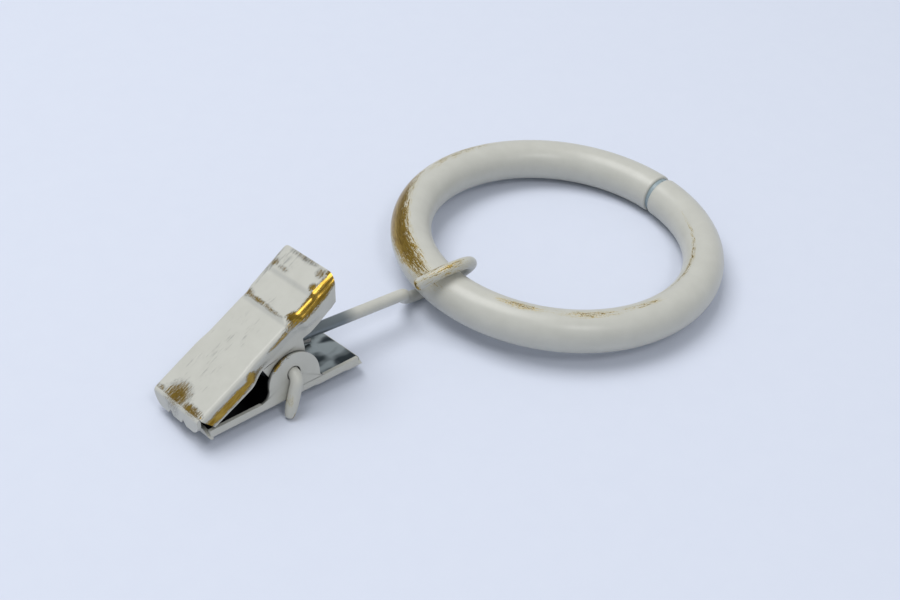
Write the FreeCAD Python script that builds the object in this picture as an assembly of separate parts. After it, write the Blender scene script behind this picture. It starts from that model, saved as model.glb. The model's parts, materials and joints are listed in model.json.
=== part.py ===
import FreeCAD, Part
import os
from math import acos, asin, atan2, cos, degrees, hypot, pi, radians, sin, sqrt, tan

# Curtain ring with a spring clip, lying on a table, in millimetres.
# The origin is the middle of the ring. +X runs from the clip to the ring, +Z is up.

# Ring: a round steel rod bent round, its ends butted on the side away from the clip.
ring_inside = 38.0
ring_section = 6.1
butt_gap = 0.8
butt_round = 0.35

# Wire of the link and of the pivot pin.
wire = 1.75

# Link: an eye round the ring, a straight shank and a small eye round the pin.
eye_clearance = 0.45
eye_lean_deg = 36.0
eye_end_deg = 150.0
neck_bend = 1.8
pin_eye_clearance = 0.1
pin_eye_end_deg = -8.0
pin_to_eye = 28.2
eye_side_offset = 2.0
eye_rise = 0.5
link_side_shift = 0.7

# Sheet of both jaws.
sheet = 0.55
step_rise = 0.4
step_run = 0.9

# Lower jaw: pressed channel with outer ears, sizes taken from the pin.
lower_half_width = 5.5
pin_height = 3.9
lower_nose = 13.85
lower_tail = 11.4
lower_bend = 0.7
lower_step_rise = 0.15
lower_nose_flange = 1.45
lower_tail_flange = 1.6
lower_ear_radius = 4.05
lower_ear_drop = 1.1
lower_ear_front_round = 1.4
lower_ear_back_round = 0.7
lower_hole_clearance = 0.2
lower_tail_round = 1.0
lower_lip = 1.25

# Upper jaw: pressed channel with ears inside those of the lower jaw.
upper_tilt_deg = 27.1
plate_height = 6.57
upper_nose = 13.6
upper_tail = 12.45
first_step = 3.9
second_step = 8.9
nose_overhang = 0.2
waist_inset = 0.05
tail_overhang = 0.35
nose_bend = 0.65
tail_bend = 1.5
ear_gap = 0.12
upper_ear_radius = 2.7
upper_hole_clearance = 0.06
ear_front = 2.8
ear_back = 4.0
flange_knee_drop = 2.3
ear_knee_drop = 2.5
nose_flange_front = 2.55
nose_flange_back = 2.7
tail_flange_front = 4.5
tail_flange_back = 4.0
nose_flange_rake = 0.34
tail_flange_rake = 0.5
tail_round = 1.4
upper_lip = 2.3
lip_bend = 0.65

# Lips: two narrow notches part each lip into three blunt teeth.
lip_inset = 0.35
notch_width = 1.2
notch_depth = 0.8
notch_spacing = 3.1
lip_corner_cut = 0.9

# Pivot pin: headed wire, its near end bent down as a leg that props the clip up.
pin_side_play = 0.15
pin_head_radius = 1.5
pin_head_thickness = 0.6
leg_bend = 1.35
leg_lean_deg = 22.0

# Torsion spring: coil on the pin, one arm along the inside of each thumb plate.
spring_wire = 0.7
coil_clearance = 0.2
coil_turns = 2
coil_play = 0.06
coil_start = 3.2
arm_contact = 0.05
upper_arm_reach = 6.0
lower_arm_reach = 8.5

# How the clip lies: rolled on to its far edge by the pin's leg.
rest_roll_deg = 9.0

wire_radius = wire / 2
ring_radius = (ring_inside + ring_section) / 2
tube_radius = ring_section / 2
nose_half_width = lower_half_width + nose_overhang
waist_half_width = lower_half_width - waist_inset
tail_half_width = lower_half_width + tail_overhang
lip_half_width = lower_half_width - lip_inset
flange_knee = plate_height - flange_knee_drop
ear_knee = plate_height - ear_knee_drop
Y_AXIS = FreeCAD.Vector(0, 1, 0)
X_AXIS = FreeCAD.Vector(1, 0, 0)
Z_AXIS = FreeCAD.Vector(0, 0, 1)


def at(x, z, y=0.0):
    """Point in the clip's own frame: x along the clip, z up, y across."""
    return FreeCAD.Vector(x, y, z)


def on_circle(centre_x, centre_z, radius, angle_deg, y=0.0):
    angle = radians(angle_deg)
    return at(centre_x + radius * cos(angle), centre_z + radius * sin(angle), y)


def arc(centre_x, centre_z, radius, start_deg, end_deg):
    """Arc in the clip's mid plane between two angles measured from +x towards +z."""
    middle = (start_deg + end_deg) / 2
    points = [on_circle(centre_x, centre_z, radius, angle) for angle in (start_deg, middle, end_deg)]
    return Part.Arc(*points).toShape()


def line(start, end):
    return Part.LineSegment(start, end).toShape()


def swept_wire(edges, start, direction, radius):
    """Round wire of the given radius along joined edges."""
    path = Part.Wire(edges)
    section = Part.Wire([Part.makeCircle(radius, start, direction)])
    return path.makePipeShell([section], True, False)


def plate(outline, low_y, high_y):
    """Flat sheet with its outline in the x, z plane, between two distances across."""
    face = Part.Face(Part.Wire(outline))
    face.translate(FreeCAD.Vector(0, low_y, 0))
    return face.extrude(FreeCAD.Vector(0, high_y - low_y, 0))


def both_sides(shape):
    """The shape and its mirror image across the clip's mid plane."""
    return [shape, shape.mirror(FreeCAD.Vector(0, 0, 0), Y_AXIS)]


def joined(shapes):
    return shapes[0].fuse(shapes[1:]).removeSplitter()


def tangent_angle(point_x, point_z, radius, side):
    """Angle on a circle about the origin where the line from an outside point touches it."""
    return degrees(atan2(point_z, point_x)) + side * degrees(acos(radius / hypot(point_x, point_z)))


def channel_section(x, top, half_width, bend, knee, half_knee, foot, rake=0.0):
    """Closed outline across a channel: flat top, rounded bends, flanges that lean in to a knee."""
    def place(across, height):
        return FreeCAD.Vector(x + rake * (top - height), across, height)

    centre = half_width - bend
    to_knee = (half_knee - centre, knee - (top - bend))
    reach = hypot(*to_knee)
    turn = atan2(to_knee[1], to_knee[0]) + acos(bend / reach)

    def bend_points(radius):
        angles = [turn, (turn + pi / 2) / 2, pi / 2]
        return [(centre + radius * cos(a), top - bend + radius * sin(a)) for a in angles]

    outer = bend_points(bend)
    inner = bend_points(bend - sheet)
    right = [(half_knee, foot), (half_knee, knee)]
    right_inner = [(half_knee - sheet, knee), (half_knee - sheet, foot)]

    def mirrored(points):
        return [(-across, height) for across, height in reversed(points)]

    chain = [
        ("line", right), ("line", [right[1], outer[0]]), ("arc", outer),
        ("line", [outer[2], mirrored(outer)[0]]), ("arc", mirrored(outer)),
        ("line", [mirrored(outer)[2], mirrored(right)[0]]), ("line", mirrored(right)),
        ("line", [mirrored(right)[1], mirrored(right_inner)[0]]), ("line", mirrored(right_inner)),
        ("line", [mirrored(right_inner)[1], mirrored(inner)[2]]), ("arc", mirrored(inner)[::-1]),
        ("line", [mirrored(inner)[0], inner[2]]), ("arc", inner[::-1]),
        ("line", [inner[0], right_inner[0]]), ("line", right_inner), ("line", [right_inner[1], right[0]]),
    ]
    edges = []
    for kind, points in chain:
        corners = [place(*point) for point in points]
        edges.append(Part.Arc(*corners).toShape() if kind == "arc" else line(*corners))
    return Part.Wire(edges)


def channel(sections):
    return Part.makeLoft([channel_section(*section) for section in sections], True, True)


def notched_lip(length):
    """Outline of a lip, across by down: three blunt teeth parted by two notches, corners cut."""
    points = [(-lip_half_width, 0.0), (-lip_half_width, length - lip_corner_cut)]
    points.append((-lip_half_width + lip_corner_cut / 2, length))
    for middle in (-notch_spacing / 2, notch_spacing / 2):
        points += [(middle - notch_width / 2, length), (middle, length - notch_depth)]
        points.append((middle + notch_width / 2, length))
    points.append((lip_half_width - lip_corner_cut / 2, length))
    points += [(lip_half_width, length - lip_corner_cut), (lip_half_width, 0.0)]
    return points


def bent_lip(plate_end, top, overlap, turn_deg, length):
    """Strip of the plate's end turned down through an angle, its edge cut to the teeth.

    The strip's side view is two straight walls joined by a bend; the teeth are cut out
    by a prism square to the turned-down wall.
    """
    turn = radians(turn_deg)
    inner_bend = lip_bend - sheet
    set_back = lip_bend * tan(turn / 2)
    centre = (plate_end + set_back, top - lip_bend)
    down = (-cos(turn), -sin(turn))
    out = (-sin(turn), cos(turn))

    def around(radius, share):
        angle = pi / 2 + turn * share
        return at(centre[0] + radius * cos(angle), centre[1] + radius * sin(angle))

    def wall_end(radius):
        start = around(radius, 1.0)
        run = length - set_back
        return at(start.x + down[0] * run, start.z + down[1] * run)

    back = plate_end + overlap
    edges = [
        line(at(back, top), around(lip_bend, 0.0)),
        Part.Arc(around(lip_bend, 0.0), around(lip_bend, 0.5), around(lip_bend, 1.0)).toShape(),
        line(around(lip_bend, 1.0), wall_end(lip_bend)),
        line(wall_end(lip_bend), wall_end(inner_bend)),
        line(wall_end(inner_bend), around(inner_bend, 1.0)),
        Part.Arc(around(inner_bend, 1.0), around(inner_bend, 0.5), around(inner_bend, 0.0)).toShape(),
        line(around(inner_bend, 0.0), at(back, top - sheet)),
        line(at(back, top - sheet), at(back, top)),
    ]
    strip = plate(edges, -lip_half_width, lip_half_width)

    corner = at(plate_end, top)
    tooth_points = [
        corner + at(down[0] * drop + out[0] * sheet, down[1] * drop + out[1] * sheet, across)
        for across, drop in notched_lip(length)
    ]
    root = corner + at(-down[0] * overlap * 3 + out[0] * sheet, -down[1] * overlap * 3 + out[1] * sheet)
    behind = [root + at(0, 0, across) for across in (lip_half_width, -lip_half_width)]
    outline = Part.makePolygon(tooth_points + behind + tooth_points[:1])
    depth = sheet * 3 + overlap
    cutter = Part.Face(outline).extrude(at(-out[0] * depth, -out[1] * depth))
    return strip.common(cutter)


def rounded_tail(end, half_width, height, radius):
    """Block whose far corners are rounded in plan, to trim the end of a thumb plate."""
    length = end + upper_nose + lower_nose
    corner = FreeCAD.Vector(end - length, -half_width, -height)
    block = Part.makeBox(length, 2 * half_width, 2 * height, corner)
    corners = [
        edge for edge in block.Edges
        if min(vertex.X for vertex in edge.Vertexes) > end - 1e-6
        and abs(edge.Vertexes[0].Z - edge.Vertexes[1].Z) > height
    ]
    return block.makeFillet(radius, corners)


def pin_hole(clearance, half_length):
    return Part.makeCylinder(wire_radius + clearance, 2 * half_length, at(0, 0, -half_length), Y_AXIS)


def make_upper_jaw():
    """Channel with two steps up towards the thumb, inner ears and a toothed nose lip.

    It is drawn with its plate level and the pin at the origin, then tilted about the pin.
    """
    ear_half = lower_half_width - sheet - ear_gap
    land = plate_height + step_rise
    thumb = land + step_rise
    nose_foot = plate_height - nose_flange_front
    waist_foot = plate_height - nose_flange_back
    land_foot = land - tail_flange_front
    end_foot = thumb - tail_flange_back
    mid_foot = land_foot + (end_foot - land_foot) * (second_step - ear_back) / (upper_tail - ear_back)
    lip_set_back = lip_bend * tan(radians(45.0 - upper_tilt_deg / 2))
    body = channel([
        (lip_set_back - upper_nose, plate_height, nose_half_width, nose_bend, flange_knee,
         nose_half_width, nose_foot, nose_flange_rake),
        (-2 * ear_front - tail_bend, plate_height, nose_half_width, nose_bend, flange_knee,
         nose_half_width, waist_foot),
        (-ear_front, plate_height, waist_half_width, nose_bend, ear_knee, ear_half, waist_foot),
        (first_step - step_run, plate_height, waist_half_width, nose_bend, ear_knee, ear_half, land_foot),
        (first_step, land, waist_half_width, tail_bend, ear_knee, ear_half, land_foot),
        (ear_back, land, waist_half_width, tail_bend, ear_knee, ear_half, land_foot),
        (second_step - step_run, land, tail_half_width, tail_bend, flange_knee, tail_half_width, mid_foot),
        (second_step, thumb, tail_half_width, tail_bend, flange_knee, tail_half_width, mid_foot),
        (upper_tail, thumb, tail_half_width, tail_bend, flange_knee, tail_half_width, end_foot,
         -tail_flange_rake),
    ])
    body = body.common(rounded_tail(upper_tail, tail_half_width, thumb, tail_round))

    front_touch = tangent_angle(-ear_front, waist_foot, upper_ear_radius, 1)
    back_touch = tangent_angle(ear_back, land_foot, upper_ear_radius, -1)
    back_touch += 360.0
    ear_top = (waist_foot + ear_knee) / 2
    front = on_circle(0, 0, upper_ear_radius, front_touch)
    back = on_circle(0, 0, upper_ear_radius, back_touch)
    outline = [
        line(at(-ear_front, ear_top), at(-ear_front, waist_foot)),
        line(at(-ear_front, waist_foot), front),
        arc(0, 0, upper_ear_radius, front_touch, back_touch),
        line(back, at(ear_back, land_foot)),
        line(at(ear_back, land_foot), at(ear_back, ear_top)),
        line(at(ear_back, ear_top), at(-ear_front, ear_top)),
    ]
    ears = both_sides(plate(outline, ear_half - sheet, ear_half))
    lip = bent_lip(-upper_nose, plate_height, 2 * lip_bend, 90.0 - upper_tilt_deg, upper_lip)
    jaw = joined([body, lip] + ears).cut(pin_hole(upper_hole_clearance, lower_half_width))
    jaw.rotate(FreeCAD.Vector(0, 0, 0), Y_AXIS, -upper_tilt_deg)
    return jaw


def make_lower_jaw():
    """Channel that opens upwards, with round outer ears and a toothed nose lip.

    It is drawn upside down like the upper jaw, then turned over.
    """
    land = pin_height + lower_step_rise
    thumb = land + lower_step_rise
    nose_foot = pin_height - lower_nose_flange
    tail_foot = thumb - lower_tail_flange
    half = lower_half_width
    knee = (tail_foot + pin_height - lower_bend) / 2
    front = lower_ear_radius + lower_ear_front_round
    body = channel([
        (lip_bend / 2 - lower_nose, pin_height, half, lower_bend, knee, half, nose_foot),
        (-front, pin_height, half, lower_bend, knee, half, nose_foot),
        (first_step - step_run, pin_height, half, lower_bend, knee, half, nose_foot),
        (first_step, land, half, lower_bend, knee, half, nose_foot),
        (lower_ear_radius + lower_ear_back_round, land, half, lower_bend, knee, half, tail_foot),
        (second_step - step_run, land, half, lower_bend, knee, half, tail_foot),
        (second_step, thumb, half, lower_bend, knee, half, tail_foot),
        (lower_tail, thumb, half, lower_bend, knee, half, tail_foot),
    ])
    body = body.common(rounded_tail(lower_tail, half, thumb, lower_tail_round))

    radius = lower_ear_radius
    back_round = lower_ear_back_round
    front_round = lower_ear_front_round
    outline = [
        line(at(-radius - front_round, knee), at(-radius - front_round, nose_foot)),
        arc(-radius - front_round, nose_foot - front_round, front_round, 90.0, 0.0),
        line(at(-radius, nose_foot - front_round), at(-radius, lower_ear_drop)),
        arc(0, lower_ear_drop, radius, 180.0, 360.0),
        line(at(radius, lower_ear_drop), at(radius, tail_foot - back_round)),
        arc(radius + back_round, tail_foot - back_round, back_round, 180.0, 90.0),
        line(at(radius + back_round, tail_foot), at(radius + back_round, knee)),
        line(at(radius + back_round, knee), at(-radius - front_round, knee)),
    ]
    ears = both_sides(plate(outline, half - sheet, half))
    lip = bent_lip(-lower_nose, pin_height, 2 * lip_bend, 90.0, lower_lip)
    jaw = joined([body, lip] + ears).cut(pin_hole(lower_hole_clearance, 2 * half))
    jaw.rotate(FreeCAD.Vector(0, 0, 0), X_AXIS, 180.0)
    return jaw


def make_pivot_pin(leg_reach):
    """Headed wire through the ears; the near end turns down outside the ear and leans to the nose."""
    ear_face = lower_half_width + pin_side_play
    leg_y = -(ear_face + wire_radius)
    lean = radians(leg_lean_deg)
    down = at(-sin(lean), -cos(lean))
    start = at(0, 0, ear_face + pin_head_thickness / 2)
    bend_start = at(0, 0, leg_y + leg_bend)
    bend_end = at(0, 0, leg_y) + down * leg_bend
    swing = leg_bend * (1 - sqrt(0.5))
    bend_middle = at(0, 0, leg_y + swing) + down * swing
    leg_end = at(0, 0, leg_y) + down * leg_reach
    edges = [
        line(start, bend_start),
        Part.Arc(bend_start, bend_middle, bend_end).toShape(),
        line(bend_end, leg_end),
    ]
    shaft = swept_wire(edges, start, Y_AXIS, wire_radius)
    crown = pin_head_radius / 3
    head = Part.makeCylinder(pin_head_radius, pin_head_thickness, at(0, 0, ear_face), Y_AXIS)
    rim = [edge for edge in head.Edges if edge.BoundBox.YMin > ear_face + pin_head_thickness / 2]
    head = head.makeFillet(min(crown, pin_head_thickness * 0.8), rim)
    return joined([shaft, head])


def make_torsion_spring():
    """Coil on the pin with two straight arms that leave it on tangents."""
    radius = wire_radius + coil_clearance + spring_wire / 2
    rod = spring_wire / 2
    tilt = radians(upper_tilt_deg)
    under = plate_height + step_rise - sheet - rod - arm_contact
    upper_end = at(upper_arm_reach * cos(tilt) - under * sin(tilt),
                   upper_arm_reach * sin(tilt) + under * cos(tilt))
    lower_end = at(lower_arm_reach, -(pin_height + lower_step_rise - sheet - rod - arm_contact))

    def arm(end, side):
        """Direction and length of an arm that touches the coil's circle and reaches a point."""
        distance = hypot(end.x, end.z)
        heading = atan2(end.z, end.x) - side * asin(radius / distance)
        return heading, sqrt(distance * distance - radius * radius)

    upper_heading, upper_length = arm(upper_end, 1)
    lower_heading, lower_length = arm(lower_end, -1)
    start_angle = lower_heading - pi / 2
    end_angle = upper_heading + pi / 2 - 2 * pi * (coil_turns + 1)
    turned = start_angle - end_angle
    pitch = spring_wire + coil_play
    height = pitch * turned / (2 * pi)

    helix = Part.makeHelix(pitch, height, radius)
    helix.rotate(FreeCAD.Vector(0, 0, 0), X_AXIS, 90.0)
    helix.rotate(FreeCAD.Vector(0, 0, 0), Y_AXIS, -degrees(start_angle))
    helix.translate(FreeCAD.Vector(0, coil_start, 0))
    slope = pitch / (2 * pi * radius)
    start = on_circle(0, 0, radius, degrees(start_angle), coil_start)
    end = on_circle(0, 0, radius, degrees(end_angle), coil_start - height)
    lower_way = at(cos(lower_heading), sin(lower_heading), slope)
    upper_way = at(cos(upper_heading), sin(upper_heading), -slope)
    section = Part.Wire([Part.makeCircle(rod, start, lower_way)])
    coil = Part.Wire(helix.Edges).makePipeShell([section], True, True)
    arms = [
        Part.makeCylinder(rod, lower_length, start, lower_way),
        Part.makeCylinder(rod, upper_length, end, upper_way),
    ]
    return joined([coil] + arms)


def make_eye_link(aim_x, aim_z):
    """One bent wire: small eye round the pin, shank, neck and large eye round the ring.

    The shank touches the small eye's circle and runs to the aim point. The large eye's middle
    is a little above that point, in a plane that leans over about the shank.
    Returns the wire and the middle of the large eye.
    """
    small = 2 * wire_radius + pin_eye_clearance
    slope = atan2(aim_z, aim_x) - asin(small / hypot(aim_x, aim_z))
    shank_deg = 90.0 + degrees(slope)
    shank_start = on_circle(0, 0, small, shank_deg)
    along = at(cos(slope), sin(slope))
    square = at(-sin(slope), cos(slope))
    aim = at(aim_x, aim_z)
    eye = aim + square * eye_rise
    neck_back = sqrt((eye_loop + neck_bend) ** 2 - (neck_bend + eye_rise) ** 2)
    shank_end = aim - along * neck_back
    neck = shank_end - square * neck_bend
    meet_deg = degrees(atan2(eye.z - neck.z, eye.x - neck.x))
    bent_end = [
        arc(neck.x, neck.z, neck_bend, shank_deg, meet_deg),
        arc(eye.x, eye.z, eye_loop, meet_deg - 180.0, 90.0),
        arc(eye.x, eye.z, eye_loop, 90.0, eye_end_deg),
    ]
    for edge in bent_end:
        edge.rotate(aim, along, eye_lean_deg + rest_roll_deg)
    hook = [arc(0, 0, small, pin_eye_end_deg + 360.0, shank_deg), line(shank_start, shank_end)]
    angle = radians(pin_eye_end_deg)
    start = on_circle(0, 0, small, pin_eye_end_deg)
    link = swept_wire(hook + bent_end, start, at(-sin(angle), cos(angle)), wire_radius)
    side = at(0, 0, -link_side_shift)
    link.translate(side)
    turned = FreeCAD.Rotation(along, eye_lean_deg + rest_roll_deg).multVec(square * eye_rise)
    return link, aim + turned + side


def make_ring():
    """Round rod bent to a ring, its two rounded ends a small gap apart on +X."""
    half_gap = degrees(asin((butt_gap / 2) / ring_radius))

    section = Part.makeCircle(tube_radius, FreeCAD.Vector(ring_radius, 0, 0), Y_AXIS)
    rod = Part.Face(Part.Wire([section])).revolve(FreeCAD.Vector(0, 0, 0), Z_AXIS, 360.0 - 2 * half_gap)
    rod.rotate(FreeCAD.Vector(0, 0, 0), Z_AXIS, half_gap)
    rims = [edge for edge in rod.Edges if abs(edge.Length - 2 * pi * tube_radius) < 1e-3 * tube_radius
            and abs(edge.CenterOfMass.y) < butt_gap]
    return rod.makeFillet(butt_round, rims)


# Rest attitude: the clip's far edge, the leg's tip and the bottom of the eye lie on the table.
roll = radians(rest_roll_deg)
tail_drop = 2 * lower_step_rise
pitch_angle = -asin(tail_drop / (lower_nose + lower_tail))
eye_turn = asin(eye_side_offset / ring_radius)
eye_lean = radians(eye_lean_deg)
eye_loop = (tube_radius + eye_clearance + wire_radius) / (cos(eye_lean) * cos(eye_turn))
eye_lift = eye_loop * cos(eye_lean) + wire_radius
clip_low = lower_nose * sin(pitch_angle) - pin_height * cos(pitch_angle)
link_lean = roll + eye_lean
eye_side = link_side_shift + eye_rise * sin(link_lean)
eye_level = (eye_lift - (lower_half_width + eye_side) * sin(roll)) / cos(roll) + clip_low
eye_z = (eye_level + pin_to_eye * sin(pitch_angle)) / cos(pitch_angle)
eye_link, eye_middle = make_eye_link(pin_to_eye, eye_z - eye_rise * cos(link_lean))

ring_tilt = asin((eye_lift - tube_radius) / (2 * ring_radius))
eye_place = FreeCAD.Vector(-ring_radius * cos(eye_turn) * cos(ring_tilt), eye_side_offset,
                           ring_radius * cos(eye_turn) * sin(ring_tilt))
table_z = eye_place.z - eye_lift

attitude = FreeCAD.Rotation(X_AXIS, -rest_roll_deg).multiply(FreeCAD.Rotation(Y_AXIS, degrees(pitch_angle)))
clip_place = FreeCAD.Placement(eye_place - attitude.multVec(eye_middle), attitude)
ring_place = FreeCAD.Placement(FreeCAD.Vector(0, 0, 0), FreeCAD.Rotation(Y_AXIS, degrees(ring_tilt)))

# The leg is as long as it takes to reach the table.
leg_root = clip_place.multVec(at(0, 0, -(lower_half_width + pin_side_play + wire_radius)))
leg_way = attitude.multVec(at(-sin(radians(leg_lean_deg)), -cos(radians(leg_lean_deg))))
leg_reach = (leg_root.z - table_z - wire_radius * sqrt(1 - leg_way.z ** 2)) / -leg_way.z

pieces = {
    "ring": make_ring(),
    "eye_link": eye_link,
    "lower_jaw": make_lower_jaw(),
    "upper_jaw": make_upper_jaw(),
    "pivot_pin": make_pivot_pin(leg_reach),
    "torsion_spring": make_torsion_spring(),
}

os.makedirs("parts", exist_ok=True)
for name, shape in pieces.items():
    place = ring_place if name == "ring" else clip_place
    shape.Placement = place.multiply(shape.Placement)
    solid = shape.Solids[0] if len(shape.Solids) == 1 else shape
    solid.exportStep("parts/" + name + ".step")
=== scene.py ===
import json

import bmesh
import bpy
import numpy as np
from mathutils import Matrix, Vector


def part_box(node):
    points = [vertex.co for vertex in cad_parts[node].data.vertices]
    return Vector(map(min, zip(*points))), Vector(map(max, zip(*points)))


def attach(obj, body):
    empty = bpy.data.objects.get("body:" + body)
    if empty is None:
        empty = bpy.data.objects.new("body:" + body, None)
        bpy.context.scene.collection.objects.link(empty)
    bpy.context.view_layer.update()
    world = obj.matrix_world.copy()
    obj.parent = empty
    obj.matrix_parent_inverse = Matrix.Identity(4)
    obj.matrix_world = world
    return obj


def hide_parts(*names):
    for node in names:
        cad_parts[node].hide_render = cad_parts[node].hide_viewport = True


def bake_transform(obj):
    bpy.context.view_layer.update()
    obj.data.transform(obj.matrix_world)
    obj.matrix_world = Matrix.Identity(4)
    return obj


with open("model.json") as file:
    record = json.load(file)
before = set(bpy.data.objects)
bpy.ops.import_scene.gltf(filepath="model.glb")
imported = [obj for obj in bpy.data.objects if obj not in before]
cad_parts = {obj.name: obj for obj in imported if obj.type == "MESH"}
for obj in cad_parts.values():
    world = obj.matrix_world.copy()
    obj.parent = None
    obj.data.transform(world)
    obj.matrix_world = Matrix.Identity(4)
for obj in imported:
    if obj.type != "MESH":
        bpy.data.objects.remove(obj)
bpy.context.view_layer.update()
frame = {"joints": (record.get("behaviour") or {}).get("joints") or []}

MM = 0.001
joint = {entry["name"]: entry for entry in frame["joints"]}


# Ring
# A round steel rod bent into a ring, its two ends butted with a small gap that is brazed below the
# surface and shows as a bluish groove. It was gilded and then painted cream; the paint is rubbed
# through where it slid on its pole.

ring_rod = 6.1
butt_gap = 0.8
butt_round = 0.35
butt_depth = 0.4
ring_step = 0.35
ring_columns = 72
ring_relief = 0.02
ring_scuffs = 0.2

eye_middle = np.array(joint["eye_swing"]["pos_m"]) / MM
ring_radius = np.linalg.norm(eye_middle)
ring_tilt = np.arctan2(eye_middle[2], -eye_middle[0])
ring_along = np.array([np.cos(ring_tilt), 0.0, -np.sin(ring_tilt)])
ring_across = np.array([0.0, 1.0, 0.0])
ring_axis = np.cross(ring_along, ring_across)


def wire_stations(length, radius, start_round, end_round, step):
    """Places along a wire and its radius there: each end is a flat disc with a rounded rim.

    A rim's quarter circle gives place = round * (1 - cos a) and radius = wire - round * (1 - sin a).
    """
    turn = np.linspace(0.0, np.pi / 2, 6)
    count = max(int(length / step), 2)
    middle = np.linspace(start_round, length - end_round, count)[1:-1]
    drawn_in = 1 - np.cos(turn)
    rim = 1 - np.sin(turn)
    place = np.concatenate([[0.0], start_round * drawn_in, middle,
                            length - end_round * drawn_in[::-1], [length]])
    size = np.concatenate([[0.0], radius - start_round * rim, np.full(len(middle), radius),
                           radius - end_round * rim[::-1], [0.0]])
    return place, size


def grid_faces(rows, columns, closed):
    """Four corners of every cell of a rows by columns grid, joined round the columns if closed."""
    row = np.arange(rows - 1)[:, None] * columns
    column = np.arange(columns if closed else columns - 1)[None, :]
    following = (column + 1) % columns
    corners = [row + column, row + following, row + columns + following, row + columns + column]
    return np.stack(np.broadcast_arrays(*corners), axis=-1).reshape(-1, 4)


def swept(path, place, size, reference, columns):
    """Round section carried along a path: point = path + size * (cos v * side + sin v * other).

    side is the reference direction with its part along the path taken out. Also returns the
    place of each point on the straightened wire: along it, and the two offsets in its section.
    """
    steps = np.linalg.norm(np.diff(path, axis=0), axis=1)
    travelled = np.concatenate([[0.0], np.cumsum(steps)])
    heading = np.gradient(path, travelled, axis=0)
    middle = np.stack([np.interp(place, travelled, path[:, k]) for k in range(3)], axis=1)
    ahead = np.stack([np.interp(place, travelled, heading[:, k]) for k in range(3)], axis=1)
    ahead /= np.linalg.norm(ahead, axis=1, keepdims=True)
    side = reference - ahead * (ahead @ reference)[:, None]
    side /= np.linalg.norm(side, axis=1, keepdims=True)
    other = np.cross(ahead, side)
    angle = np.linspace(0.0, 2 * np.pi, columns, endpoint=False)
    across = size[:, None] * np.cos(angle)
    over = size[:, None] * np.sin(angle)
    points = middle[:, None] + across[..., None] * side[:, None] + over[..., None] * other[:, None]
    straight = np.stack([np.broadcast_to(place[:, None], across.shape), across, over], axis=-1)
    return points.reshape(-1, 3), straight.reshape(-1, 3), grid_faces(len(place), columns, True)


def rubbed_by(u, v, spots):
    """How far the paint is rubbed: the strongest of soft spots, strength * exp(-d * d).

    A spot is its middle in u and v, its half lengths in u and v, and its strength. d is the distance
    from its middle, each way in half lengths.
    """
    rubbed = np.zeros(np.broadcast(u, v).shape)
    for middle_u, middle_v, half_u, half_v, strength in spots:
        distance = ((u - middle_u) / half_u) ** 2 + ((v - middle_v) / half_v) ** 2
        rubbed = np.maximum(rubbed, strength * np.exp(-distance))
    return rubbed


def new_piece(name, points, faces, material, **fields):
    """Mesh object from points in millimetres, with fields over its points that its paint reads."""
    weld_distance = 1e-4
    fold_angle = np.radians(38.0)
    mesh = bpy.data.meshes.new(name)
    mesh.from_pydata((points * MM).tolist(), [], faces.tolist())
    for key, value in fields.items():
        kind, part = ("FLOAT", "value") if value.ndim == 1 else ("FLOAT_VECTOR", "vector")
        attribute = mesh.attributes.new(key, kind, "POINT")
        attribute.data.foreach_set(part, value.astype(np.float32).ravel())
    cleaned = bmesh.new()
    cleaned.from_mesh(mesh)
    bmesh.ops.remove_doubles(cleaned, verts=cleaned.verts, dist=weld_distance * MM)
    bmesh.ops.recalc_face_normals(cleaned, faces=cleaned.faces)
    cleaned.to_mesh(mesh)
    cleaned.free()
    mesh.shade_smooth()
    mesh.set_sharp_from_angle(angle=fold_angle)
    mesh.materials.append(material)
    piece = bpy.data.objects.new(name, mesh)
    bpy.context.scene.collection.objects.link(piece)
    return piece


def set_inputs(tree, node, inputs):
    """Sets each input of a node to a value, or links it from a socket."""
    for key, value in inputs.items():
        if isinstance(value, bpy.types.NodeSocket):
            tree.links.new(value, node.inputs[key])
        else:
            node.inputs[key].default_value = value


def add_node(tree, kind, inputs, **settings):
    """New node with its settings and then its inputs."""
    node = tree.nodes.new(kind)
    for key, value in settings.items():
        setattr(node, key, value)
    set_inputs(tree, node, inputs)
    return node


def field(tree, name, output="Fac"):
    """Socket that reads one of the fields over a piece's points."""
    return add_node(tree, "ShaderNodeAttribute", {}, attribute_name=name).outputs[output]


def noise(tree, place, stretch, scale, detail):
    """Noise on the place, in cells per millimetre times the stretch of each direction."""
    stretched = add_node(tree, "ShaderNodeVectorMath", {0: place, 1: stretch}, operation="MULTIPLY")
    cells = add_node(tree, "ShaderNodeTexNoise", {
        "Vector": stretched.outputs[0], "Scale": scale, "Detail": detail, "Roughness": 0.62})
    return cells.outputs["Fac"]


def combined(tree, operation, first, second):
    """Sum, product or another operation on two values or sockets."""
    return add_node(tree, "ShaderNodeMath", {0: first, 1: second}, operation=operation).outputs[0]


def between(tree, value, low, high):
    """0 below low, 1 above high and a smooth step between."""
    ramp = add_node(tree, "ShaderNodeMapRange", {"Value": value, "From Min": low, "From Max": high},
                    interpolation_type="SMOOTHSTEP")
    return ramp.outputs["Result"]


def mixed(tree, share, first, second):
    """Colour between two: first + (second - first) * share."""
    return add_node(tree, "ShaderNodeMix", {0: share, 6: first, 7: second}, data_type="RGBA").outputs[2]


def mixed_value(tree, share, first, second):
    """Number between two: first + (second - first) * share."""
    return add_node(tree, "ShaderNodeMix", {0: share, 2: first, 3: second}, data_type="FLOAT").outputs[0]


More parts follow.
